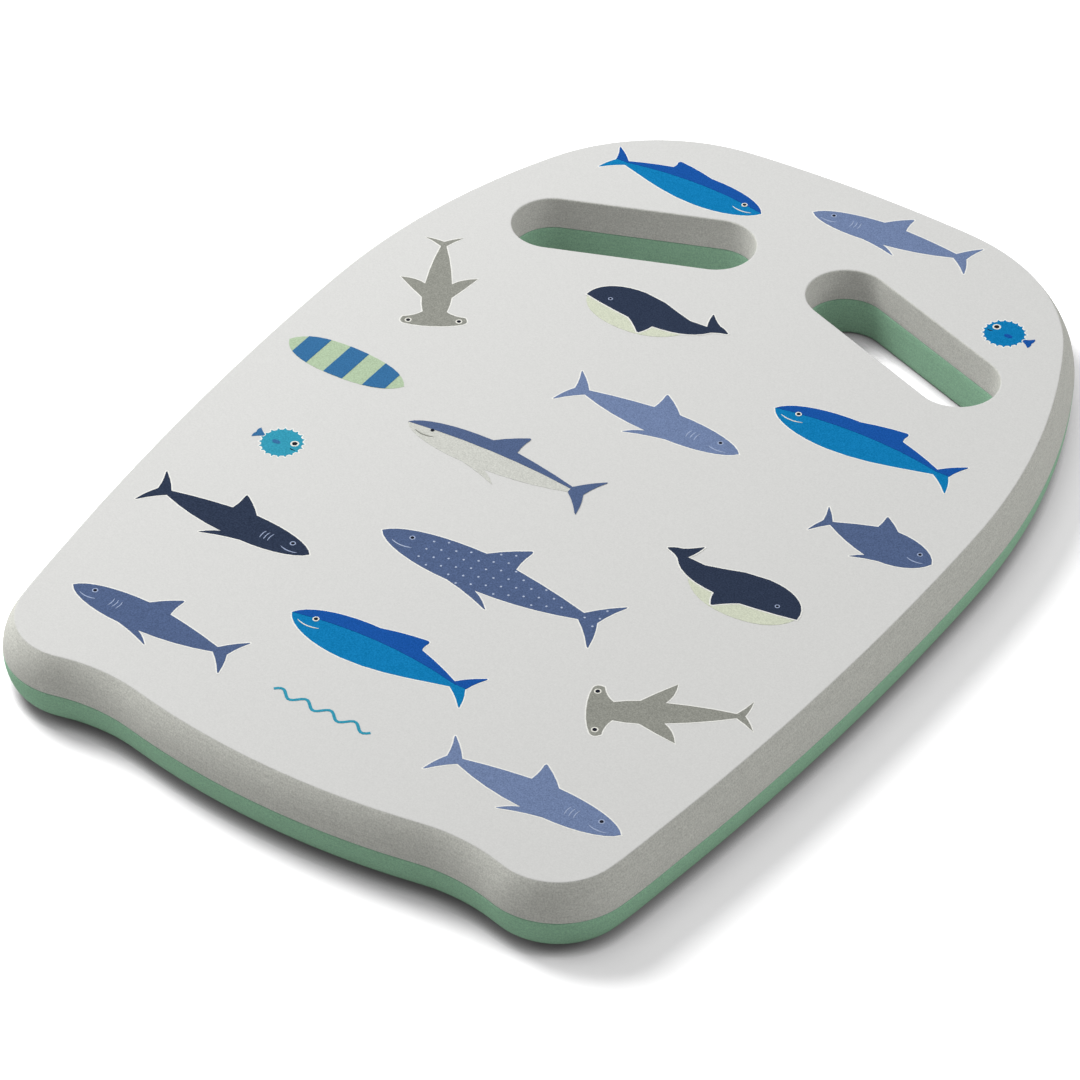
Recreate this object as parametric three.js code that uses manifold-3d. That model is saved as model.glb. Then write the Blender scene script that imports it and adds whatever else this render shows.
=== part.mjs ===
// Child's kickboard float: two closed-cell foam layers bonded face to face, two hand slots
// through both layers, and sea animals printed on the top face as thin films of ink.
// Millimetres. +Z is up, +Y points to the nose, and the origin is on the bottom face,
// under the middle of the board.

import * as THREE from "three";
import { mergeVertices } from "three/addons/utils/BufferGeometryUtils.js";
import Module from "manifold-3d";

const wasm = await Module();
wasm.setup();

// ---- Driving dimensions ----

const boardThickness = 30;
const bottomLayerThickness = 16;
const bondThickness = 0.2;
const bondSetback = 0.4; // the adhesive stops this far inside the foam's edge
const edgeBulge = 5.25; // the rounded edge stands this far past the flat faces at half thickness

// Right half of a flat face's outline, from the middle of the tail round to the nose.
// The arcs meet at tangents. A turn is in degrees, and a negative one is hollow.
const tailMiddle = { radius: 303, turn: 11 };
const tailHollow = { radius: 75, turn: -26 };
const tailCorner = { radius: 24, turn: 95.3 };
const longSide = { radius: 1188, turn: 10.1 };
const shoulder = { radius: 263, turn: 25 };
const noseCorner = { radius: 78.3, turn: 59.6 };

const slotCentreX = 59.2;
const slotCentreY = 122.4;
const slotRadius = 15.9;
const slotStraight = 63.5; // between the centres of the two round ends
const slotTilt = 20.6; // degrees; the outer end sits nearer the tail

const inkThickness = 0.1;

const foamTolerance = 0.06; // how far a flat facet may leave the true curve, on the foam
const inkTolerance = 0.07; // the same, on the printed outlines
const edgeSteps = 5; // rings of facets up the edge of each foam layer
const cutterOverrun = 1; // cutting solids run this far past what they cut

// ---- Materials ----

function material(hex, roughness) {
  return new THREE.MeshStandardMaterial({ color: hex, roughness, metalness: 0 });
}

const greyFoam = material(0xdadad8, 0.85);
const mintFoam = material(0x8dbb9c, 0.85);
const adhesive = material(0x8f9a90, 0.7);
const lavenderInk = material(0x7082af, 0.6);
const slateInk = material(0x4b5f87, 0.6);
const navyInk = material(0x263048, 0.6);
const brightBlueInk = material(0x0082b9, 0.55);
const deepBlueInk = material(0x1450a5, 0.55);
const stoneInk = material(0x96988e, 0.6);
const tealInk = material(0x2896b9, 0.6);
const stripeBlueInk = material(0x2869a0, 0.6);
const paleGreenInk = material(0xb4cba5, 0.6);
const bellyInk = material(0xdee4c8, 0.6);
const whiteInk = material(0xd4d6cd, 0.6);

// ---- Outline of the board ----

function radians(degrees) {
  return (degrees * Math.PI) / 180;
}

function arcSteps(radius, turn, tolerance) {
  return Math.max(2, Math.ceil(Math.abs(turn) * Math.sqrt(radius / (8 * tolerance))));
}

// Points along the right half, each with its heading, which gives the outward direction.
function rightHalf() {
  const points = [{ x: 0, y: 0, heading: 0 }];
  const follow = (radius, turn) => {
    const start = points.at(-1);
    const bend = Math.sign(turn) * radius;
    const steps = arcSteps(radius, turn, foamTolerance);
    for (let step = 1; step <= steps; step++) {
      const heading = start.heading + (turn * step) / steps;
      points.push({
        x: start.x + bend * (Math.sin(heading) - Math.sin(start.heading)),
        y: start.y - bend * (Math.cos(heading) - Math.cos(start.heading)),
        heading,
      });
    }
  };
  for (const arc of [tailMiddle, tailHollow, tailCorner, longSide, shoulder, noseCorner]) {
    follow(arc.radius, radians(arc.turn));
  }
  const end = points.at(-1);
  follow(end.x / Math.sin(end.heading), Math.PI - end.heading); // the nose closes on the centre line
  return points;
}

// The whole outline, anticlockwise, as places and outward directions.
function boardOutline() {
  const half = rightHalf();
  const middleY = (half[0].y + half.at(-1).y) / 2;
  const right = half.map(({ x, y, heading }) => ({
    place: new THREE.Vector2(x, y - middleY),
    outward: new THREE.Vector2(Math.sin(heading), -Math.cos(heading)),
  }));
  const left = right.slice(1, -1).reverse().map(({ place, outward }) => ({
    place: new THREE.Vector2(-place.x, place.y),
    outward: new THREE.Vector2(-outward.x, outward.y),
  }));
  return [...right, ...left];
}

const outline = boardOutline();

function ringAt(offset) {
  return outline.map(({ place, outward }) => place.clone().addScaledVector(outward, offset));
}

// ---- Rounded edge ----

const halfThickness = boardThickness / 2;
const edgeRadius = (halfThickness ** 2 + edgeBulge ** 2) / (2 * edgeBulge);

function edgeAngle(z) {
  return Math.asin((z - halfThickness) / edgeRadius);
}

function edgeOffset(z) {
  return edgeRadius * Math.cos(edgeAngle(z)) - (edgeRadius - edgeBulge);
}

// Rings from bottom to top, each {z, ring}, closed by flat faces at both ends.
function loftGeometry(levels) {
  const count = levels[0].ring.length;
  const positions = levels.flatMap(({ z, ring }) => ring.flatMap((point) => [point.x, point.y, z]));
  const triangles = [];
  for (let level = 0; level < levels.length - 1; level++) {
    for (let i = 0; i < count; i++) {
      const below = level * count;
      const above = below + count;
      const next = (i + 1) % count;
      triangles.push(below + i, below + next, above + next);
      triangles.push(below + i, above + next, above + i);
    }
  }
  const top = (levels.length - 1) * count;
  for (const [a, b, c] of THREE.ShapeUtils.triangulateShape(levels[0].ring, [])) {
    triangles.push(c, b, a);
  }
  for (const [a, b, c] of THREE.ShapeUtils.triangulateShape(levels.at(-1).ring, [])) {
    triangles.push(top + a, top + b, top + c);
  }
  const geometry = new THREE.BufferGeometry();
  geometry.setAttribute("position", new THREE.Float32BufferAttribute(positions, 3));
  geometry.setIndex(triangles);
  return geometry;
}

// ---- Cutting and joining ----

function toSolid(geometry) {
  const bare = geometry.clone();
  bare.deleteAttribute("normal");
  bare.deleteAttribute("uv");
  const merged = mergeVertices(bare);
  const vertProperties = new Float32Array(merged.attributes.position.array);
  const triVerts = new Uint32Array(merged.index.array);
  return new wasm.Manifold(new wasm.Mesh({ numProp: 3, vertProperties, triVerts }));
}

function toGeometry(solid) {
  const { numProp, vertProperties, triVerts } = solid.getMesh();
  const geometry = new THREE.BufferGeometry();
  const positions = Array.from({ length: vertProperties.length / numProp }, (_, vertex) =>
    Array.from(vertProperties.subarray(vertex * numProp, vertex * numProp + 3)),
  );
  geometry.setAttribute("position", new THREE.Float32BufferAttribute(positions.flat(), 3));
  geometry.setIndex(Array.from(triVerts));
  return geometry;
}

function prism(points, bottom, height) {
  const settings = { depth: height, bevelEnabled: false };
  return new THREE.ExtrudeGeometry(new THREE.Shape(points), settings).translate(0, 0, bottom);
}

// ---- Foam layers ----

// A hand slot: two round ends joined by straight sides, grown outwards by `grow`.
function slotCutter(side, grow) {
  const radius = slotRadius + grow;
  const steps = arcSteps(radius, Math.PI, foamTolerance);
  const points = [];
  for (const end of [1, -1]) {
    for (let step = 0; step <= steps; step++) {
      const angle = Math.PI * (step / steps - 0.5) + (end > 0 ? 0 : Math.PI);
      const centre = (end * slotStraight) / 2;
      points.push(new THREE.Vector2(centre + radius * Math.cos(angle), radius * Math.sin(angle)));
    }
  }
  const height = boardThickness + 2 * cutterOverrun;
  const cutter = prism(points, -cutterOverrun, height);
  cutter.rotateZ(radians(-side * slotTilt));
  cutter.translate(side * slotCentreX, slotCentreY, 0);
  return toSolid(cutter);
}

function cutSlots(geometry, grow = 0) {
  const cutters = slotCutter(1, grow).add(slotCutter(-1, grow));
  return toGeometry(toSolid(geometry).subtract(cutters));
}

function foamLayer(bottom, top) {
  const levels = [];
  for (let step = 0; step <= edgeSteps; step++) {
    const angle = THREE.MathUtils.lerp(edgeAngle(bottom), edgeAngle(top), step / edgeSteps);
    const z = THREE.MathUtils.clamp(halfThickness + edgeRadius * Math.sin(angle), bottom, top);
    levels.push({ z, ring: ringAt(edgeOffset(z)) });
  }
  return cutSlots(loftGeometry(levels));
}

function bondFilm(bottom, top) {
  const ring = ringAt(edgeOffset(bottom) - bondSetback);
  const levels = [{ z: bottom, ring }, { z: top, ring }];
  return cutSlots(loftGeometry(levels), bondSetback);
}

// ---- Printed animals ----
// Plain shapes set out from a few proportions. Each is 100 units long and faces left: x runs
// from its snout, at the origin, to its tail. Outlines run from the snout over the back.

const finBow = 1; // how far a fin's front edge bows out and its rear edge in
const tipRound = 2; // how far from its tip a fin starts to round off
const deepest = 40; // where a swimmer's body is deepest
const stemX = 88; // where its tail starts
const stemHalf = 2; // half the height of the body there

// Draws on to (x, y) in one curve, bowed outwards by `bow`, or inwards where that's negative.
function bowTo(shape, x, y, bow) {
  const start = shape.currentPoint;
  const run = x - start.x;
  const rise = y - start.y;
  const share = bow / Math.hypot(run, rise);
  shape.quadraticCurveTo((start.x + x) / 2 - share * rise, (start.y + y) / 2 + share * run, x, y);
}

// A fin, or one lobe of a tail: out to its rounded tip and back to `base`.
function fin(shape, tip, base) {
  const point = new THREE.Vector2(...tip);
  const near = (end) => point.clone().lerp(end, tipRound / point.distanceTo(end));
  const outer = near(shape.currentPoint);
  const inner = near(new THREE.Vector2(...base));
  bowTo(shape, outer.x, outer.y, finBow);
  shape.quadraticCurveTo(point.x, point.y, inner.x, inner.y);
  bowTo(shape, ...base, -finBow);
}

// A shark or fish with a spindle-shaped body and an even tail. `depth` is its greatest half
// depth, `span` the height of its tail, and the fin on its back is finLength by finHeight.
function swimmer({ depth, finLength, finHeight, span, bellyFin = true }) {
  const finEnd = deepest + finLength;
  const shape = new THREE.Shape();
  shape.moveTo(0, 0);
  shape.bezierCurveTo(0.1 * deepest, 0.6 * depth, 0.5 * deepest, depth, deepest, depth);
  fin(shape, [finEnd, depth + finHeight], [finEnd, 0.85 * depth]);
  bowTo(shape, stemX, stemHalf, 1);
  fin(shape, [100, span / 2], [95, 0]);
  fin(shape, [100, -span / 2], [stemX, -stemHalf]);
  if (bellyFin) {
    bowTo(shape, 1.2 * deepest, -0.96 * depth, 3);
    fin(shape, [1.45 * deepest, -depth - 0.6 * finHeight], [0.9 * deepest, -depth]);
  } else {
    shape.bezierCurveTo(1.8 * deepest, -0.5 * depth, 1.4 * deepest, -depth, 0.9 * deepest, -depth);
  }
  shape.bezierCurveTo(0.5 * deepest, -depth, 0.1 * deepest, -0.6 * depth, 0, 0);
  return shape;
}

const shark = swimmer({ depth: 10, finLength: 14, finHeight: 11, span: 28 });
const deepShark = swimmer({ depth: 19, finLength: 16, finHeight: 12, span: 34 });
const fish = swimmer({ depth: 13, finLength: 24, finHeight: 5, span: 24, bellyFin: false });

// The part of a swimmer above a shallow curve that rises by `rise`, printed over it in a darker
// ink. With `wholeTail` it takes in both lobes of the tail as well.
function upperSide(rise, wholeTail) {
  const reach = 40;
  const past = 110;
  const end = 0.25 * stemHalf;
  const shape = new THREE.Shape();
  shape.moveTo(-1, reach);
  shape.lineTo(-1, 0);
  shape.quadraticCurveTo(stemX / 2, 2 * rise, stemX, end);
  if (wholeTail) {
    shape.lineTo(stemX, -reach);
    shape.lineTo(past, -reach);
  } else {
    shape.lineTo(past, end);
  }
  shape.lineTo(past, reach);
  return shape;
}

// A whale with a round head, and a tail that curves up to two flukes.
function whaleBody() {
  const shape = new THREE.Shape();
  shape.moveTo(0, 0);
  shape.bezierCurveTo(0, 14, 14, 22, 32, 22);
  shape.bezierCurveTo(56, 22, 66, 8, 84, 13);
  fin(shape, [80, 27], [91, 18]);
  fin(shape, [100, 14], [89, 9]);
  shape.bezierCurveTo(82, -1, 70, -5, 54, -6);
  fin(shape, [50, -17], [36, -6]);
  bowTo(shape, 0, 0, 1);
  return shape;
}

function whaleBelly() {
  const shape = new THREE.Shape();
  shape.moveTo(1, -1);
  shape.bezierCurveTo(6, -14, 22, -19, 38, -19);
  shape.bezierCurveTo(56, -19, 68, -12, 75, -2);
  return shape;
}

// Half an outline in quadratic curves, each a control point and an end, and then its mirror
// image below the axis, back to where it started.
function mirroredShape(start, curves) {
  const shape = new THREE.Shape();
  const ends = [start, ...curves.map(([, end]) => end)];
  shape.moveTo(...start);
  for (const [control, end] of curves) {
    shape.quadraticCurveTo(...control, ...end);
  }
  for (let i = curves.length - 1; i >= 0; i--) {
    const [control] = curves[i];
    shape.quadraticCurveTo(control[0], -control[1], ends[i][0], -ends[i][1]);
  }
  return shape;
}

// A hammerhead shark, straight, seen from above.
const hammerhead = mirroredShape([0, 0], [
  [[0, 12], [3, 20]],
  [[5, 24], [10, 21]],
  [[11, 13], [16, 8]],
  [[24, 10], [32, 10]],
  [[42, 18], [54, 26]],
  [[53, 15], [47, 9]],
  [[70, 7], [90, 1.8]],
  [[95, 6], [100, 13]],
  [[98, 5], [95, 0]],
]);

const surfboard = mirroredShape([0, 0], [
  [[8, 17], [46, 17]],
  [[90, 17], [100, 0]],
]);

// The fan of a puffer fish's tail, in millimetres.
const pufferTail = mirroredShape([0, 0], [
  [[0, 0.3], [0.2, 0.6]],
  [[1.6, 1], [3.6, 3]],
  [[4.4, 1.4], [3.6, 0]],
]);

// A round body with short spikes all the way round, for a puffer fish. The gap between two
// spikes is centred on each side, where the tail stands.
function spikyDisc(radius, spikeHeight, spikes) {
  const points = [];
  for (let spike = 0; spike < spikes; spike++) {
    for (const [share, height] of [[0.25, 0], [0.5, spikeHeight], [0.75, 0]]) {
      const angle = (2 * Math.PI * (spike + share)) / spikes;
      const reach = radius + height;
      points.push(new THREE.Vector2(reach * Math.cos(angle), reach * Math.sin(angle)));
    }
  }
  return new THREE.Shape(points);
}

function band(from, to) {
  const reach = 30;
  const corners = [[from, -reach], [to, -reach], [to, reach], [from, reach]];
  return new THREE.Shape(corners.map(([x, y]) => new THREE.Vector2(x, y)));
}

// A wavy stripe, `width` thick, of whole sine waves.
function waveMark({ length, height, width, waves }) {
  const steps = 10 * waves;
  const edge = (side) => {
    const points = [];
    for (let step = 0; step <= steps; step++) {
      const phase = (2 * Math.PI * waves * step) / steps;
      const slope = (Math.cos(phase) * height * Math.PI * waves) / length;
      const normal = new THREE.Vector2(-slope, 1).normalize().multiplyScalar((side * width) / 2);
      const along = length * (step / steps - 0.5);
      points.push(new THREE.Vector2(along, (height / 2) * Math.sin(phase)).add(normal));
    }
    return points;
  };
  return new THREE.Shape([...edge(-1), ...edge(1).reverse()]);
}

// ---- Placing the prints ----

function curveSteps(curve, scale) {
  const turn = curve.getTangent(0).angleTo(curve.getTangent(1));
  return Math.max(1, Math.ceil(Math.sqrt((turn * curve.getLength() * scale) / (8 * inkTolerance))));
}

// Points round a shape at its printed size: faces left, or mirrored to face right.
function printedPoints(shape, { scale, faces, middle }) {
  const flip = faces === "right" ? -1 : 1;
  shape.closePath();
  return shape.curves.flatMap((curve) => {
    const steps = curveSteps(curve, scale);
    return Array.from({ length: steps }, (_, step) => {
      const { x, y } = curve.getPoint(step / steps);
      return new THREE.Vector2(flip * (x - middle) * scale, y * scale);
    });
  });
}

const group = new THREE.Group();

function add(name, geometry, finish) {
  const mesh = new THREE.Mesh(geometry, finish);
  mesh.name = name;
  group.add(mesh);
  return mesh;
}

function addFilm(name, geometry, finish, { x, y, turn = 0, layer = 0 }) {
  const mesh = add(name, geometry, finish);
  mesh.position.set(x, y, boardThickness + layer * inkThickness);
  mesh.rotation.z = radians(turn);
}

// One animal in one ink, with an optional second ink over the part of it inside `over.shape`.
function addPrint(name, shape, finish, place, overprints = []) {
  const settings = { scale: place.length / 100, faces: place.faces, middle: 50 };
  const film = prism(printedPoints(shape, settings), 0, inkThickness);
  addFilm(name, film, finish, place);
  for (const over of overprints) {
    const region = printedPoints(over.shape, settings);
    const cutter = prism(region, -cutterOverrun, inkThickness + 2 * cutterOverrun);
    const printed = toGeometry(toSolid(film).intersect(toSolid(cutter)));
    addFilm(`${name}_${over.name}`, printed, over.finish, { ...place, layer: 1 });
  }
}

function addWhale(name, place) {
  const settings = { scale: place.length / 100, faces: place.faces, middle: 50 };
  const body = prism(printedPoints(whaleBody(), settings), 0, inkThickness);
  const belly = prism(printedPoints(whaleBelly(), settings), 0, inkThickness);
  addFilm(name, toGeometry(toSolid(body).add(toSolid(belly))), bellyInk, place);
  addFilm(`${name}_body`, body, navyInk, { ...place, layer: 1 });
}

function addPuffer(name, finish, tailFinish, { x, y, faces }) {
  const radius = 7.5;
  const gap = 0.3;
  const flip = faces === "right" ? -1 : 1;
  const disc = spikyDisc(radius, 0.9, 20);
  addFilm(name, prism(disc.getPoints(), 0, inkThickness), finish, { x, y });
  const tailPoints = printedPoints(pufferTail, { scale: 1, faces, middle: 0 });
  const tailX = x + flip * (radius + gap);
  addFilm(`${name}_tail`, prism(tailPoints, 0, inkThickness), tailFinish, { x: tailX, y });
}

// ---- The board ----

const bondBottom = bottomLayerThickness;
const bondTop = bottomLayerThickness + bondThickness;
add("bottom_layer", foamLayer(0, bondBottom), mintFoam);
add("bond_film", bondFilm(bondBottom, bondTop), adhesive);
add("top_layer", foamLayer(bondTop, boardThickness), greyFoam);

// ---- The prints: x and y are the middle of each animal's length, level with its snout ----

const sharkPlaces = {
  lavender_shark_nose: { x: 25, y: 175, length: 68, faces: "left", turn: 5 },
  lavender_shark_middle: { x: 8, y: 30, length: 74, faces: "right" },
  lavender_shark_tail: { x: 80, y: -158, length: 72, faces: "right" },
};
for (const [name, place] of Object.entries(sharkPlaces)) {
  addPrint(name, shark, lavenderInk, place);
}
addPrint("slate_shark", shark, slateInk, { x: -75, y: -158, length: 70, faces: "left" });
addPrint("navy_shark", shark, navyInk, { x: -86, y: -100, length: 70, faces: "right" });
addPrint("round_shark", deepShark, slateInk, { x: 110, y: 15, length: 46, faces: "right" });
addPrint("spotted_shark", shark, slateInk, { x: 10, y: -75, length: 95, faces: "left" });

const darkBack = { name: "back", shape: upperSide(3, true), finish: slateInk };
addPrint("white_shark", shark, whiteInk, { x: -25, y: -20, length: 80, faces: "left" }, [darkBack]);

const fishBack = { name: "back", shape: upperSide(5, false), finish: deepBlueInk };
const fishPlaces = {
  blue_fish_nose: { x: -60, y: 160, length: 70, faces: "right" },
  blue_fish_side: { x: 80, y: 60, length: 76, faces: "left" },
  blue_fish_tail: { x: 0, y: -128, length: 76, faces: "left" },
};
for (const [name, place] of Object.entries(fishPlaces)) {
  addPrint(name, fish, brightBlueInk, place, [fishBack]);
}

addWhale("whale_left", { x: -24, y: 80, length: 58, faces: "left" });
addWhale("whale_right", { x: 80, y: -36, length: 58, faces: "right" });

addPrint("hammerhead_right", hammerhead, stoneInk, { x: 98, y: -100, length: 56, turn: 30 });
addPrint("hammerhead_left", hammerhead, stoneInk, { x: -104, y: 56, length: 56, turn: 120 });

addPuffer("puffer_right", brightBlueInk, deepBlueInk, { x: 90, y: 145, faces: "left" });
addPuffer("puffer_left", tealInk, stripeBlueInk, { x: -96, y: -55, faces: "right" });

const stripeWidth = 16;
const stripeStarts = { tip: 10, middle: 42, end: 74 };
addPrint("surfboard", surfboard, paleGreenInk, { x: -104, y: -4, length: 52 },
  Object.entries(stripeStarts).map(([name, from]) => ({
    name: `${name}_stripe`,
    shape: band(from, from + stripeWidth),
    finish: stripeBlueInk,
  })),
);

const wave = waveMark({ length: 40, height: 3.2, width: 1.1, waves: 4 });
addFilm("wave_mark", prism(wave.getPoints(), 0, inkThickness), tealInk, { x: 0, y: -163 });

export default group;
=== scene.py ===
import math

import bpy
import numpy as np
from mathutils import Matrix, Vector
from mathutils.geometry import delaunay_2d_cdt


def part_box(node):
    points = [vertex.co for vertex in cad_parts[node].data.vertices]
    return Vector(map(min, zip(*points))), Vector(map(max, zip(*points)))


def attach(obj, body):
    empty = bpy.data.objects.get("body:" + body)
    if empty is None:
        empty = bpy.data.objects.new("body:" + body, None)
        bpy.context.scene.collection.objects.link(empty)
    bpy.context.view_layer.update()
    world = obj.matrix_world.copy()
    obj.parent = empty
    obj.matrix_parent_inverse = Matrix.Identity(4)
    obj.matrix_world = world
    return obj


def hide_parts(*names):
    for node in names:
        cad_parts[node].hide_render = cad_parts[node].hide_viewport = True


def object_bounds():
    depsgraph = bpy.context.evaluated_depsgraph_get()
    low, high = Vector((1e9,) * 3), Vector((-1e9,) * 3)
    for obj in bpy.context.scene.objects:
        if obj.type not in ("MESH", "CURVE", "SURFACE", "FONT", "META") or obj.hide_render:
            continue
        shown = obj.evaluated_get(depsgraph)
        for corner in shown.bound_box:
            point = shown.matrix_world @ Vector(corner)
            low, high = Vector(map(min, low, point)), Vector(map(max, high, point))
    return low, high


# Looks of a child's kickboard float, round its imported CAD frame. Metres, +Z up, +Y to the nose.
# The two foam layers are rebuilt with fine, softly rounded surfaces. The printed films of the
# CAD model stay, and eyes, mouths, gills, spots and pale outlines are added as thinner films.

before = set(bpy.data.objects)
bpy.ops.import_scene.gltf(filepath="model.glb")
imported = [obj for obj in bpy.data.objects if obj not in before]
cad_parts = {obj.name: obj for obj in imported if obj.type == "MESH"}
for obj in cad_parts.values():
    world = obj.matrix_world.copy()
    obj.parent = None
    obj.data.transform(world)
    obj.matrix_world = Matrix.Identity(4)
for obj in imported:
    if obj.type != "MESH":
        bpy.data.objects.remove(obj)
cad_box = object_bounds()

MM = 0.001


# ---- Reading the frame ----

def flat_loops(node):
    """The closed border lines of a CAD node's flat top face, as (x, y) arrays, longest first."""
    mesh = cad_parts[node].data
    places = np.array([v.co for v in mesh.vertices], float)
    level = places[:, 2].max()
    keys = [tuple(k) for k in np.round(places / (0.001 * MM)).astype(int)]
    following = {}
    edges = set()
    for face in mesh.polygons:
        if min(places[v, 2] for v in face.vertices) < level - 0.01 * MM:
            continue
        corners = list(face.vertices)
        for a, b in zip(corners, corners[1:] + corners[:1]):
            edges.add((keys[a], keys[b]))
    for a, b in edges:
        if (b, a) not in edges:
            following[a] = b
    loops = []
    while following:
        start = next(iter(following))
        loop = [start]
        step = following.pop(start)
        while step != start:
            loop.append(step)
            step = following.pop(step)
        loops.append(np.array(loop, float)[:, :2] * (0.001 * MM))
    return sorted(loops, key=len, reverse=True)


def smooth_ring(points, count):
    """Evenly spaced places, with outward directions, on a smooth closed curve through points."""
    total = len(points)
    gaps = np.linalg.norm(np.roll(points, -1, 0) - points, axis=1)
    system = np.zeros((total, total))
    for i in range(total):
        system[i, i - 1] = gaps[i - 1]
        system[i, i] = 2 * (gaps[i - 1] + gaps[i])
        system[i, (i + 1) % total] = gaps[i]
    slopes = (np.roll(points, -1, 0) - points) / gaps[:, None]
    bends = np.linalg.solve(system, 6 * (slopes - np.roll(slopes, 1, 0)))
    starts = np.concatenate([[0], np.cumsum(gaps)])
    along = np.arange(count) / count * starts[-1]
    part = np.searchsorted(starts, along, side="right") - 1
    after = (part + 1) % total
    gap = gaps[part][:, None]
    u = along[:, None] - starts[part][:, None]
    w = gap - u
    from_here = points[part] / gap - bends[part] * gap / 6
    from_next = points[after] / gap - bends[after] * gap / 6
    places = (bends[part] * w ** 3 + bends[after] * u ** 3) / (6 * gap) + from_here * w + from_next * u
    headings = (bends[after] * u ** 2 - bends[part] * w ** 2) / (2 * gap) + from_next - from_here
    headings /= np.linalg.norm(headings, axis=1)[:, None]
    return places, np.stack([headings[:, 1], -headings[:, 0]], axis=1)


class Slot:
    """A hand slot measured from its border line: two round ends joined by straight sides."""

    ARC_STEPS = 40
    SIDE_STEPS = 20

    def __init__(self, loop):
        low, high = loop.min(0), loop.max(0)
        self.centre = (low + high) / 2
        away = loop - self.centre
        spread = np.linalg.eigh(away.T @ away)[1][:, -1]
        self.axis = spread * np.sign(spread[0])
        self.across = np.array([-self.axis[1], self.axis[0]])
        self.radius = np.abs(away @ self.across).max()
        self.straight = 2 * (np.abs(away @ self.axis).max() - self.radius)

    def ring(self, grow):
        """The slot's outline, anticlockwise, grown outwards by grow."""
        reach = self.radius + grow
        points = []
        for end in (1, -1):
            for step in range(self.ARC_STEPS):
                angle = math.pi * (step / self.ARC_STEPS - 0.5)
                x = end * (self.straight / 2 + reach * math.cos(angle))
                y = end * reach * math.sin(angle)
                points.append(x * self.axis + y * self.across)
            for step in range(self.SIDE_STEPS):
                x = end * self.straight * (0.5 - step / self.SIDE_STEPS)
                points.append(x * self.axis + end * reach * self.across)
        return np.array(points) + self.centre


# ---- Building meshes ----

class Builder:
    """Collects rings of vertices and the faces between them, then makes one closed mesh."""

    def __init__(self):
        self.vertices = []
        self.faces = []

    def ring(self, points, z):
        first = len(self.vertices)
        self.vertices.extend((x, y, z) for x, y in points)
        return list(range(first, len(self.vertices)))

    def wall(self, lower, upper, inward=False):
        count = len(lower)
        for i in range(count):
            j = (i + 1) % count
            quad = (lower[i], lower[j], upper[j], upper[i])
            self.faces.append(quad[::-1] if inward else quad)

    def walls(self, rings, inward=False):
        for lower, upper in zip(rings, rings[1:]):
            self.wall(lower, upper, inward)

    def cap(self, border, holes=(), up=True):
        """Fills the flat face inside border and outside the holes with triangles."""
        rings = [border, *holes]
        ids = [v for ring in rings for v in ring]
        flat = np.array([self.vertices[v][:2] for v in ids])
        edges = []
        for ring in rings:
            first = sum(len(r) for r in rings[:rings.index(ring)])
            edges.extend((first + i, first + (i + 1) % len(ring)) for i in range(len(ring)))
        found = delaunay_2d_cdt([Vector(p) for p in flat], edges, [], 0, 1e-9)
        triangles = np.array([[found[3][v][0] for v in face] for face in found[2]])
        middles = flat[triangles].mean(axis=1)
        keep = inside(middles, np.array([self.vertices[v][:2] for v in border]))
        for hole in holes:
            keep &= ~inside(middles, np.array([self.vertices[v][:2] for v in hole]))
        for a, b, c in triangles[keep]:
            turn = np.cross(flat[b] - flat[a], flat[c] - flat[a])
            corners = (ids[a], ids[b], ids[c])
            self.faces.append(corners if (turn > 0) == up else corners[::-1])

    def prism(self, points, bottom, top):
        lower = self.ring(points, bottom)
        upper = self.ring(points, top)
        self.wall(lower, upper)
        self.cap(lower, up=False)
        self.cap(upper)

    def piece(self, name, material, slot, smooth=False):
        mesh = bpy.data.meshes.new(name)
        mesh.from_pydata(self.vertices, [], self.faces)
        mesh.materials.append(material)
        mesh.polygons.foreach_set("use_smooth", [smooth] * len(mesh.polygons))
        mesh.update()
        made = bpy.data.objects.new(name, mesh)
        bpy.context.scene.collection.objects.link(made)
        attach(made, "root")
        return made


def inside(points, polygon):
    """True for each point inside the polygon, by counting the edges it has on its right."""
    x, y = points[:, 0][:, None], points[:, 1][:, None]
    x1, y1 = polygon[:, 0], polygon[:, 1]
    x2, y2 = np.roll(x1, -1), np.roll(y1, -1)
    rise = np.where(y1 == y2, 1, y2 - y1)
    crosses = ((y1 > y) != (y2 > y)) & (x < x1 + (y - y1) * (x2 - x1) / rise)
    return crosses.sum(axis=1) % 2 == 1


# ---- Materials ----

KEY_LEVEL = 1.25  # how brightly the studio lights the top face


def lit(red, green, blue):
    """The linear colour that a level surface needs to look, in the studio light, like these 0 to
    255 screen values."""
    def linear(value):
        share = value / 255
        return share / 12.92 if share <= 0.04045 else ((share + 0.055) / 1.055) ** 2.4
    return (*[linear(value) / KEY_LEVEL for value in (red, green, blue)], 1)


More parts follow.
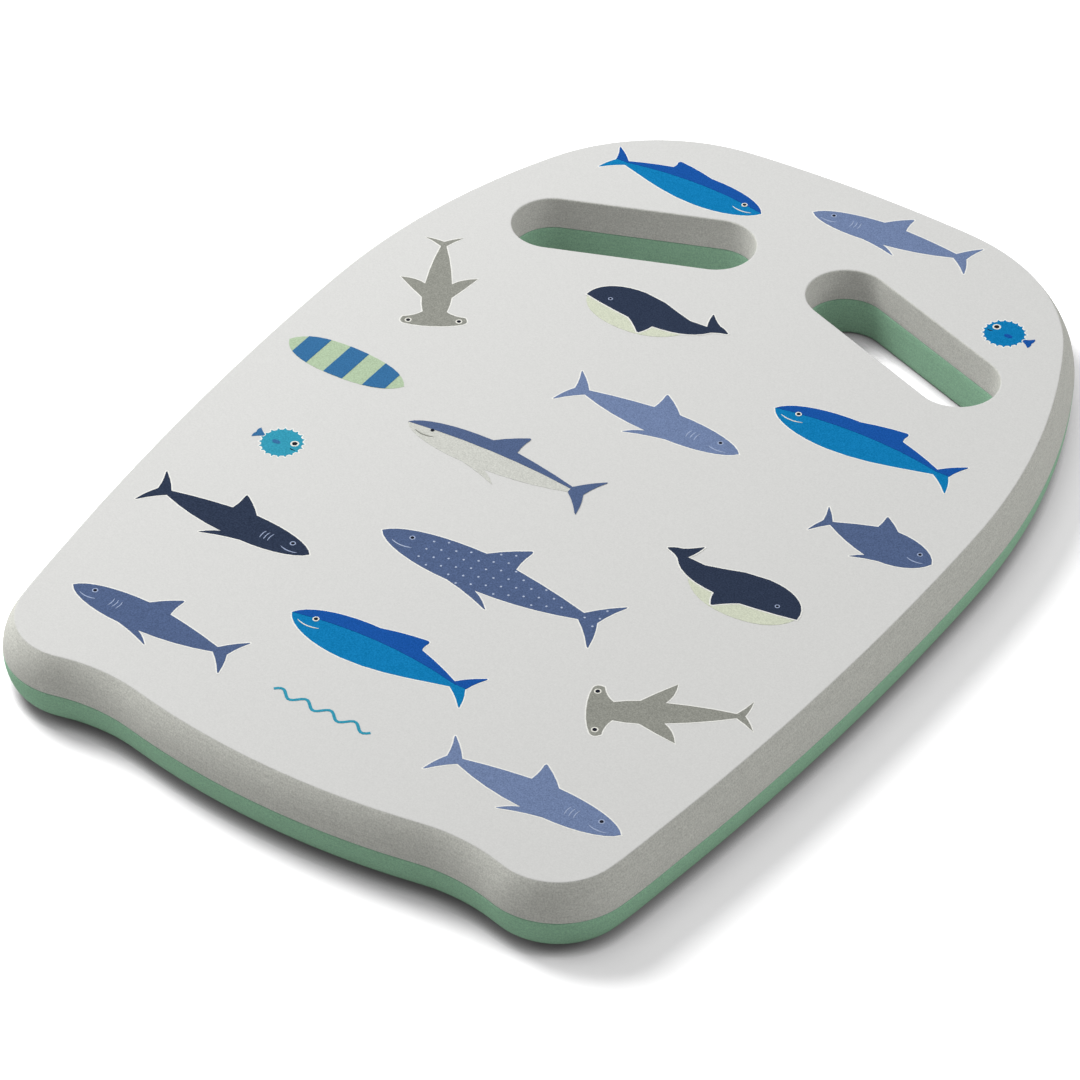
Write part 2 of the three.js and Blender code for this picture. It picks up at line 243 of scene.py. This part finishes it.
class Graph:
    """A material's node tree, with short calls for the nodes used here."""

    def __init__(self, name):
        self.material = bpy.data.materials.new(name)
        self.material.use_nodes = True
        self.nodes = self.material.node_tree.nodes
        self.links = self.material.node_tree.links
        self.surface = self.nodes["Principled BSDF"]
        self.place = self.nodes.new("ShaderNodeTexCoord").outputs["Object"]

    def put(self, socket, value):
        if isinstance(value, bpy.types.NodeSocket):
            self.links.new(value, socket)
        else:
            socket.default_value = value

    def stretched(self, x, y, z):
        node = self.nodes.new("ShaderNodeMapping")
        self.put(node.inputs["Vector"], self.place)
        node.inputs["Scale"].default_value = (x, y, z)
        return node.outputs["Vector"]

    def noise(self, size, detail=2, roughness=0.5, place=None):
        """Soft random values round 0.5, whose blobs are about size metres across."""
        node = self.nodes.new("ShaderNodeTexNoise")
        self.put(node.inputs["Vector"], place or self.place)
        node.inputs["Scale"].default_value = 1 / size
        node.inputs["Detail"].default_value = detail
        node.inputs["Roughness"].default_value = roughness
        return node.outputs["Fac"]

    def sums(self, kind, a, b=0.0, c=0.0):
        node = self.nodes.new("ShaderNodeMath")
        node.operation = kind
        for socket, value in zip(node.inputs, (a, b, c)):
            self.put(socket, value)
        return node.outputs["Value"]

    def spread(self, value, low, high, to_low=0.0, to_high=1.0):
        """Moves value from the range low to high into to_low to to_high, stopping at the ends."""
        node = self.nodes.new("ShaderNodeMapRange")
        for socket, number in zip(node.inputs, (value, low, high, to_low, to_high)):
            self.put(socket, number)
        return node.outputs["Result"]

    def mix(self, share, a, b):
        node = self.nodes.new("ShaderNodeMix")
        node.data_type = "RGBA"
        self.put(node.inputs["Factor"], share)
        self.put(node.inputs["A"], a)
        self.put(node.inputs["B"], b)
        return node.outputs["Result"]

    def steepness(self):
        """0 on flat faces and 1 on upright walls."""
        geometry = self.nodes.new("ShaderNodeNewGeometry")
        parts = self.nodes.new("ShaderNodeSeparateXYZ")
        self.put(parts.inputs["Vector"], geometry.outputs["True Normal"])
        upright = self.sums("ABSOLUTE", parts.outputs["Z"])
        return self.spread(upright, 0.95, 0.6)

    def openness(self, reach):
        """1 in the open, and less where other surfaces stand within reach."""
        node = self.nodes.new("ShaderNodeAmbientOcclusion")
        node.inputs["Distance"].default_value = reach
        node.samples = 8
        return node.outputs["AO"]

    def seen_by_others(self, colour, plain):
        """Shows colour to the camera, and plain to the light that bounces off to other things."""
        path = self.nodes.new("ShaderNodeLightPath")
        return self.mix(path.outputs["Is Diffuse Ray"], colour, plain)

    def finish(self, colour, roughness, relief, depth, specular=0.15):
        bump = self.nodes.new("ShaderNodeBump")
        bump.inputs["Distance"].default_value = depth
        self.put(bump.inputs["Height"], relief)
        self.put(self.surface.inputs["Base Color"], colour)
        self.put(self.surface.inputs["Roughness"], roughness)
        self.put(self.surface.inputs["Specular IOR Level"], specular)
        self.put(self.surface.inputs["Normal"], bump.outputs["Normal"])
        return self.material


GRAIN = 0.55 * MM
WALL_TINT = (0.995, 1.0, 0.94)  # the cut walls are a little warmer than the skin


def foam(name, colour):
    """Closed-cell foam: a fine grain on the flat faces, and on the cut walls a coarser grain
    with the faint level lines that the blade leaves."""
    g = Graph(name)
    steep = g.steepness()
    grain = g.noise(GRAIN, detail=1, roughness=0.6)
    cells = g.noise(2.6 * MM, detail=1)
    lines = g.noise(1 * MM, detail=1, place=g.stretched(0.15, 0.15, 2.4))
    flat_colour = g.mix(g.spread(grain, 0.25, 0.75), scaled(colour, 0.95), scaled(colour, 1.05))
    wall_tone = g.sums("MULTIPLY_ADD", grain, 0.76, g.sums("MULTIPLY", lines, 0.24))
    shaded = tinted(colour, WALL_TINT)
    wall_colour = g.mix(g.spread(wall_tone, 0.28, 0.72), scaled(shaded, 0.79), scaled(shaded, 1.21))
    shown = g.seen_by_others(g.mix(steep, flat_colour, wall_colour), (0.75, 0.75, 0.75, 1))
    flat_relief = g.sums("MULTIPLY_ADD", cells, 0.3, grain)
    wall_relief = g.sums("MULTIPLY_ADD", lines, 0.6, g.sums("MULTIPLY", grain, 1.2))
    relief = g.sums("MULTIPLY_ADD", steep, wall_relief, flat_relief)
    roughness = g.spread(grain, 0.3, 0.7, 0.75, 0.92)
    return g.finish(shown, roughness, relief, 0.035 * MM)


def ink(name, colour, under):
    """Printed ink that follows the foam's grain, a little thin over its high spots, where what
    is under it shows through."""
    g = Graph(name)
    grain = g.noise(GRAIN, detail=1, roughness=0.6)
    cells = g.noise(2.6 * MM, detail=1)
    tone = g.sums("MULTIPLY_ADD", grain, 0.9, g.sums("MULTIPLY", cells, 0.1))
    contrast = 0.3 - 0.3 * max(colour[:3])  # pale inks hide the grain better
    thin = blend(scaled(colour, 1 + contrast), under, 0.012)
    mottled = g.mix(g.spread(tone, 0.28, 0.72), scaled(colour, 1 - contrast), thin)
    roughness = g.spread(grain, 0.3, 0.7, 0.7, 0.85)
    return g.finish(mottled, roughness, grain, 0.03 * MM, specular=0.02)


def tinted(colour, tint):
    return (*[value * share for value, share in zip(colour, tint)], 1)


def scaled(colour, times):
    return (*[value * times for value in colour[:3]], 1)


def blend(a, b, share):
    return (*[x + (y - x) * share for x, y in zip(a[:3], b[:3])], 1)


FOAM_COLOURS = {
    "grey_foam": lit(216, 216, 214),
    "mint_foam": lit(160, 206, 178),
    "adhesive": lit(120, 116, 104),
}

INK_COLOURS = {
    "lavender_ink": lit(113, 131, 168),
    "slate_ink": lit(81, 99, 136),
    "navy_ink": lit(44, 55, 77),
    "bright_blue_ink": lit(3, 123, 181),
    "deep_blue_ink": lit(17, 82, 163),
    "stone_ink": lit(147, 148, 140),
    "teal_ink": lit(51, 152, 179),
    "stripe_blue_ink": lit(54, 110, 158),
    "pale_green_ink": lit(178, 198, 167),
    "belly_ink": lit(210, 215, 194),
    "white_ink": lit(205, 206, 199),
}

MARK_COLOURS = {
    "undercoat": lit(240, 240, 235),
    "spot_marks": lit(180, 192, 216),
    "cream_marks": lit(234, 233, 224),
    "pale_blue_marks": lit(164, 178, 208),
    "dark_marks": lit(24, 28, 40),
}

materials = {}
for slot, colour in FOAM_COLOURS.items():
    materials[slot] = foam(slot, colour)
for slot, colour in [*INK_COLOURS.items(), *MARK_COLOURS.items()]:
    materials[slot] = ink(slot, colour, FOAM_COLOURS["grey_foam"])


# ---- Foam layers ----

OUTLINE_POINTS = 760
TOP_ROUNDING = 0.6 * MM
BOTTOM_ROUNDING = 11 * MM
JOINT_ROUNDING = 0.25 * MM
SLOT_TOP_ROUNDING = 0.7 * MM
SLOT_BOTTOM_ROUNDING = 1.2 * MM
FLAT_MARGIN = 0.5 * MM  # a flat strip inside each rounding, which keeps the shading of the face even

loops = flat_loops("top_layer")
outline, outward = smooth_ring(loops[0], OUTLINE_POINTS)
slots = [Slot(loop) for loop in loops[1:]]
board_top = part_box("top_layer")[1].z
joint_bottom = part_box("bottom_layer")[1].z
joint_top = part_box("top_layer")[0].z
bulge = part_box("bottom_layer")[1].x - loops[0][:, 0].max()
edge_radius = ((board_top / 2) ** 2 + bulge ** 2) / (2 * bulge)
edge_centre = bulge - edge_radius


def arc(centre_out, centre_z, radius, start, end, steps):
    """Places (out, z) on an arc across the edge; angles are above the level, in radians."""
    angles = np.linspace(start, end, steps + 1)
    return [(centre_out + radius * math.cos(a), centre_z + radius * math.sin(a)) for a in angles]


def face_rounding(rounding):
    """How far out a rounding between the edge's arc and a flat face is centred, and the angle
    above or below level where it leaves the arc."""
    rise = board_top / 2 - rounding
    run = math.sqrt((edge_radius - rounding) ** 2 - rise ** 2)
    return edge_centre + run, math.atan2(rise, run)


def edge_out(z):
    return edge_centre + math.sqrt(edge_radius ** 2 - (z - board_top / 2) ** 2)


def edge_arc(start, end, steps):
    return arc(edge_centre, board_top / 2, edge_radius, start, end, steps)


def joint_rounding(z, upward):
    """The small rounding where a layer's wall turns in to the glued joint."""
    level = z + (JOINT_ROUNDING if upward else -JOINT_ROUNDING)
    centre = edge_out(level) - JOINT_ROUNDING
    start, end = (-math.pi / 2, 0) if upward else (0, math.pi / 2)
    return arc(centre, level, JOINT_ROUNDING, start, end, 4)


def edge_angle(z):
    return math.asin((z - board_top / 2) / edge_radius)


def slot_profile(bottom, top, bottom_rounding, top_rounding):
    """Places (grow, z) up a slot's wall, which is upright between two roundings."""
    low = arc(bottom_rounding, bottom + bottom_rounding, bottom_rounding, -math.pi / 2, -math.pi, 5)
    high = arc(top_rounding, top - top_rounding, top_rounding, math.pi, math.pi / 2, 5)
    middle = [(0, z) for z in np.linspace(low[-1][1], high[0][1], 6)[1:-1]]
    first = (low[0][0] + FLAT_MARGIN, bottom)
    last = (high[-1][0] + FLAT_MARGIN, top)
    return [first, *low, *middle, *high, last]


def foam_layer(name, edge_profile, slot_walls, slot):
    build = Builder()
    border = [build.ring(outline + outward * out, z) for out, z in edge_profile]
    build.walls(border)
    holes = [[build.ring(s.ring(grow), z) for grow, z in slot_walls] for s in slots]
    for hole in holes:
        build.walls(hole, inward=True)
    build.cap(border[0], [hole[0] for hole in holes], up=False)
    build.cap(border[-1], [hole[-1] for hole in holes])
    made = build.piece(f"{name}_foam", materials[slot], slot, smooth=True)
    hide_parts(name)


def top_layer():
    centre, leaves = face_rounding(TOP_ROUNDING)
    low = joint_rounding(joint_top, upward=True)
    wall = edge_arc(edge_angle(low[-1][1]), leaves, 14)
    high = arc(centre, board_top - TOP_ROUNDING, TOP_ROUNDING, leaves, math.pi / 2, 6)
    profile = [(low[0][0] - FLAT_MARGIN, joint_top), *low, *wall[1:], *high[1:],
               (centre - FLAT_MARGIN, board_top)]
    walls = slot_profile(joint_top, board_top, JOINT_ROUNDING, SLOT_TOP_ROUNDING)
    foam_layer("top_layer", profile, walls, "grey_foam")


def bottom_layer():
    centre, leaves = face_rounding(BOTTOM_ROUNDING)
    low = arc(centre, BOTTOM_ROUNDING, BOTTOM_ROUNDING, -math.pi / 2, -leaves, 12)
    high = joint_rounding(joint_bottom, upward=False)
    wall = edge_arc(-leaves, edge_angle(high[0][1]), 16)
    profile = [(centre - FLAT_MARGIN, 0), *low, *wall[1:], *high[1:],
               (high[-1][0] - FLAT_MARGIN, joint_bottom)]
    walls = slot_profile(0, joint_bottom, SLOT_BOTTOM_ROUNDING, JOINT_ROUNDING)
    foam_layer("bottom_layer", profile, walls, "mint_foam")


top_layer()
bottom_layer()


# ---- Printed films ----

PRINT_INKS = {
    "bond_film": "adhesive",
    "lavender_shark_nose": "lavender_ink",
    "lavender_shark_middle": "lavender_ink",
    "lavender_shark_tail": "lavender_ink",
    "slate_shark": "slate_ink",
    "navy_shark": "navy_ink",
    "round_shark": "slate_ink",
    "spotted_shark": "slate_ink",
    "white_shark": "white_ink",
    "white_shark_back": "slate_ink",
    "blue_fish_nose": "bright_blue_ink",
    "blue_fish_nose_back": "deep_blue_ink",
    "blue_fish_side": "bright_blue_ink",
    "blue_fish_side_back": "deep_blue_ink",
    "blue_fish_tail": "bright_blue_ink",
    "blue_fish_tail_back": "deep_blue_ink",
    "whale_left": "belly_ink",
    "whale_left_body": "navy_ink",
    "whale_right": "belly_ink",
    "whale_right_body": "navy_ink",
    "hammerhead_right": "stone_ink",
    "hammerhead_left": "stone_ink",
    "puffer_right": "bright_blue_ink",
    "puffer_right_tail": "deep_blue_ink",
    "puffer_left": "teal_ink",
    "puffer_left_tail": "stripe_blue_ink",
    "surfboard": "pale_green_ink",
    "surfboard_tip_stripe": "stripe_blue_ink",
    "surfboard_middle_stripe": "stripe_blue_ink",
    "surfboard_end_stripe": "stripe_blue_ink",
    "wave_mark": "teal_ink",
}

for node, slot in PRINT_INKS.items():
    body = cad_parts[node]
    body.data.materials.clear()
    body.data.materials.append(materials[slot])

OUTLINE_WIDTH = 0.5 * MM
OUTLINE_HEIGHT = 0.05 * MM
UNDER_INK = 0.06 * MM  # how far an outline runs in under its ink
MARK_HEIGHT = 0.04 * MM

# The record's material slot that stands for each kind of mark.
MARK_SLOTS = {
    "cream_marks": "belly_ink",
    "dark_marks": "navy_ink",
    "pale_blue_marks": "lavender_ink",
    "spot_marks": "lavender_ink",
}


def offset_ring(points, distance):
    """A closed line moved outwards by distance, with its sharp corners held short."""
    before = points - np.roll(points, 1, 0)
    after = np.roll(points, -1, 0) - points
    before /= np.linalg.norm(before, axis=1)[:, None]
    after /= np.linalg.norm(after, axis=1)[:, None]
    heading = before + after
    heading /= np.linalg.norm(heading, axis=1)[:, None]
    sides = np.stack([heading[:, 1], -heading[:, 0]], axis=1)
    stretch = np.maximum((heading * after).sum(axis=1), 0.7)
    return points + sides * (distance / stretch)[:, None]


def pale_outline(node):
    """The pale undercoat that shows as a thin line all round a dark print."""
    line = flat_loops(node)[0]
    inner = offset_ring(line, -UNDER_INK)
    outer = offset_ring(line, OUTLINE_WIDTH)
    build = Builder()
    bottom, top = board_top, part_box(node)[0].z + OUTLINE_HEIGHT
    rings = [build.ring(outer, bottom), build.ring(outer, top), build.ring(inner, top),
             build.ring(inner, bottom)]
    build.walls([*rings, rings[0]])
    build.piece(f"{node}_outline", materials["undercoat"], "white_ink")


class Marks:
    """Small marks on one animal. Places are in hundredths of its length: x from its snout
    towards its tail, and y up from its snout."""

    def __init__(self, node, faces="left", turn=0, over=None):
        self.node = node
        angle = math.radians(turn)
        self.along = np.array([math.cos(angle), math.sin(angle)])
        self.up = np.array([-math.sin(angle), math.cos(angle)])
        if faces == "right":
            self.along = -self.along
        places = np.array([v.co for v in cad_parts[node].data.vertices], float)[:, :2]
        x = places @ self.along
        self.unit = (x.max() - x.min()) / 100
        self.snout = places[x < x.min() + 0.05 * MM].mean(axis=0)
        self.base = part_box(node)[1].z
        self.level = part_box(over)[1].z if over else self.base
        self.films = {}

    def board_place(self, x, y):
        return self.snout + self.unit * (x * self.along + y * self.up)

    def shape(self, kind, points, layer=0):
        """One printed film on this animal, from points round its edge."""
        spots = np.array([self.board_place(x, y) for x, y in points])
        x, y = spots[:, 0], spots[:, 1]
        if (x * np.roll(y, -1) - np.roll(x, -1) * y).sum() < 0:
            spots = spots[::-1]
        build = self.films.setdefault(kind, Builder())
        bottom = self.level + (layer - 1) * MARK_HEIGHT if layer else self.base
        build.prism(spots, bottom, self.level + (layer + 1) * MARK_HEIGHT)

    def dot(self, kind, x, y, radius, layer=0, squash=1.0):
        """A round film; its radius is in millimetres, and squash flattens it."""
        reach = radius * MM / self.unit
        angles = np.arange(28) / 28 * 2 * math.pi
        points = [(x + reach * math.cos(a), y + squash * reach * math.sin(a)) for a in angles]
        self.shape(kind, points, layer)

    def line(self, kind, start, bend, end, width):
        """A curved stroke, pointed at both ends; its width is in millimetres."""
        steps = 14
        half = width * MM / self.unit / 2
        start, bend, end = (np.array(p, float) for p in (start, bend, end))
        sides = []
        for step in range(steps + 1):
            t = step / steps
            place = (1 - t) ** 2 * start + 2 * t * (1 - t) * bend + t ** 2 * end
            heading = (1 - t) * (bend - start) + t * (end - bend)
            across = np.array([-heading[1], heading[0]]) / np.linalg.norm(heading)
            reach = half * max(0.12, math.sin(math.pi * t) ** 0.4)
            sides.append((place + across * reach, place - across * reach))
        self.shape(kind, [a for a, _ in sides] + [b for _, b in sides[::-1]])

    def eye(self, x, y, radius=1.1, ring="pale_blue_marks"):
        """A dark pupil in a pale ring; the radius is the ring's, in millimetres."""
        self.dot(ring, x, y, radius)
        self.dot("dark_marks", x, y, 0.62 * radius, layer=1)

    def mouth(self, kind, x, y, reach):
        """A plain smile that starts at (x, y) and runs back."""
        self.line(kind, (x, y), (x + 0.5 * reach, y - 0.22 * reach), (x + reach, y), 0.45)

    def gills(self, kind, x, height):
        """Three short upright strokes, behind the eye."""
        for back in range(3):
            place = x + 2.4 * back
            self.line(kind, (place, -height), (place + 1, 0), (place, height), 0.35)

    def finish(self):
        for kind, build in self.films.items():
            build.piece(f"{self.node}_{kind}", materials[kind], MARK_SLOTS.get(kind, kind))


def plain_shark(node, faces, turn=0):
    m = Marks(node, faces, turn)
    m.eye(12, 2.4)
    m.mouth("pale_blue_marks", 6, -2.4, 10)
    m.gills("pale_blue_marks", 24, 3)
    m.finish()


def round_shark():
    m = Marks("round_shark", "right")
    m.eye(13, 5, radius=1)
    m.mouth("pale_blue_marks", 6, -3, 14)
    m.finish()


SPOT_GAP = 5
SPOT_RADIUS = 0.4


def spotted_shark():
    m = Marks("spotted_shark")
    m.eye(12, 2.4)
    m.mouth("spot_marks", 6, -2.4, 9)
    safe = offset_ring(flat_loops("spotted_shark")[0], -0.8 * MM)
    for column in range(16):
        for row in range(-4, 5):
            x = 20 + SPOT_GAP * column
            y = SPOT_GAP * (row + 0.5 * (column % 2))
            if inside(m.board_place(x, y)[None], safe)[0]:
                m.dot("spot_marks", x, y, SPOT_RADIUS)
    m.finish()


def white_shark():
    m = Marks("white_shark", over="white_shark_back")
    m.dot("dark_marks", 13, 0.8, 0.7)
    m.mouth("stone_ink", 6, -2.8, 10)
    m.finish()


def blue_fish(node, faces):
    m = Marks(node, faces, over=f"{node}_back")
    m.eye(12, 2, radius=1.2, ring="cream_marks")
    m.mouth("cream_marks", 5, -2.6, 12)
    m.finish()


def whale(node, faces):
    m = Marks(node, faces, over=f"{node}_body")
    m.eye(16, 4, radius=0.9)
    m.finish()


def hammerhead(node, turn):
    m = Marks(node, turn=turn)
    for side in (1, -1):
        m.eye(6, side * 17, radius=1.3, ring="cream_marks")
    m.finish()


def puffer(node, faces, fin_ink):
    m = Marks(node, faces)
    m.eye(24, 12, radius=1.6, ring="cream_marks")
    m.mouth("dark_marks", 10, -6, 14)
    m.dot(fin_ink, 62, -4, 1.7, squash=0.6)
    m.finish()


plain_shark("lavender_shark_nose", "left", 5)
plain_shark("lavender_shark_middle", "right")
plain_shark("lavender_shark_tail", "right")
plain_shark("slate_shark", "left")
plain_shark("navy_shark", "right")
round_shark()
spotted_shark()
white_shark()
blue_fish("blue_fish_nose", "right")
blue_fish("blue_fish_side", "left")
blue_fish("blue_fish_tail", "left")
whale("whale_left", "left")
whale("whale_right", "right")
hammerhead("hammerhead_right", 30)
hammerhead("hammerhead_left", 120)
puffer("puffer_right", "left", "deep_blue_ink")
puffer("puffer_left", "right", "stripe_blue_ink")

OUTLINED_INKS = ("lavender_ink", "slate_ink", "navy_ink", "bright_blue_ink", "stone_ink", "teal_ink")
for node, ink_slot in PRINT_INKS.items():
    if ink_slot in OUTLINED_INKS and node not in ("white_shark_back", "wave_mark"):
        pale_outline(node)


# ---- Stage ----

# How far from the board the floor's painted contact shadow and its wider, fainter painted shadow
# reach.
CONTACT_REACH = 5.5 * MM
SHADOW_REACH = 22 * MM


def floor():
    g = Graph("studio_floor")
    tone = g.noise(60 * MM, detail=2)
    shown = g.mix(tone, (1.26, 1.26, 1.26, 1), (1.28, 1.28, 1.28, 1))
    colour = g.seen_by_others(shown, (0.48, 0.48, 0.48, 1))
    # Painted shade: the floor's colour is darkened where the board stands close, as a painted contact
    # shadow along its edges and a fainter, wider painted shadow round it.
    painted_contact_shade = g.spread(g.openness(CONTACT_REACH), 0.35, 0.9, 0.36, 1.0)
    painted_wide_shade = g.spread(g.openness(SHADOW_REACH), 0.5, 0.7, 0.78, 1.0)
    colour = g.mix(g.sums("MULTIPLY", painted_contact_shade, painted_wide_shade), (0, 0, 0, 1), colour)
    material = g.finish(colour, 0.8, tone, 0.02 * MM, specular=0.0)
    build = Builder()
    reach = 6
    corners = build.ring([(-reach, -reach), (reach, -reach), (reach, reach), (-reach, reach)], 0)
    mesh = bpy.data.meshes.new("floor")
    mesh.from_pydata(build.vertices, [], [corners])
    mesh.materials.append(material)
    made = bpy.data.objects.new("floor", mesh)
    made.location.z = -0.02 * MM
    bpy.context.scene.collection.objects.link(made)


def towards(azimuth, elevation):
    """The direction from the board to a place at this azimuth, 0 over the tail and 90 to the
    right, and this elevation, in degrees."""
    a, e = math.radians(azimuth), math.radians(elevation)
    return Vector((math.sin(a) * math.cos(e), -math.cos(a) * math.cos(e), math.sin(e)))


def soft_light(name, direction, distance, size, power):
    lamp = bpy.data.lights.new(name, "AREA")
    lamp.shape = "DISK"
    lamp.size = size
    lamp.energy = power
    made = bpy.data.objects.new(name, lamp)
    made.location = direction * distance
    made.rotation_mode = "QUATERNION"
    made.rotation_quaternion = (-direction).to_track_quat("-Z", "Y")
    bpy.context.scene.collection.objects.link(made)


def sky(strength):
    world = bpy.data.worlds.new("studio")
    world.use_nodes = True
    background = world.node_tree.nodes["Background"]
    background.inputs["Color"].default_value = (1, 1, 1, 1)
    background.inputs["Strength"].default_value = strength
    bpy.context.scene.world = world


CAMERA_AZIMUTH = 33.86
CAMERA_ELEVATION = 40.17
CAMERA_ROLL = -0.29
CAMERA_DISTANCE = 1.5
CAMERA_LENS = 142.57


def camera():
    centre = Vector(((cad_box[0].x + cad_box[1].x) / 2, (cad_box[0].y + cad_box[1].y) / 2, board_top))
    target = centre + Vector((11.85 * MM, -49.0 * MM, 0))
    back = towards(CAMERA_AZIMUTH, CAMERA_ELEVATION)
    level = Vector((0, 0, 1)).cross(back).normalized()
    upright = back.cross(level)
    roll = math.radians(CAMERA_ROLL)
    right = math.cos(roll) * level + math.sin(roll) * upright
    up = math.cos(roll) * upright - math.sin(roll) * level
    lens = bpy.data.cameras.new("camera")
    lens.lens = CAMERA_LENS
    lens.sensor_width = 36
    made = bpy.data.objects.new("camera", lens)
    facing = Matrix((right, up, back)).transposed().to_4x4()
    made.matrix_world = Matrix.Translation(target + back * CAMERA_DISTANCE) @ facing
    bpy.context.scene.collection.objects.link(made)
    bpy.context.scene.camera = made


floor()
sky(0.4)
soft_light("key", towards(-94, 50), 1.6, 0.8, 24)
soft_light("front_fill", towards(-70, 22), 1.8, 0.6, 4)
soft_light("back_fill", towards(118, 30), 1.8, 0.8, 8)
camera()
bpy.context.scene.view_settings.view_transform = "Standard"
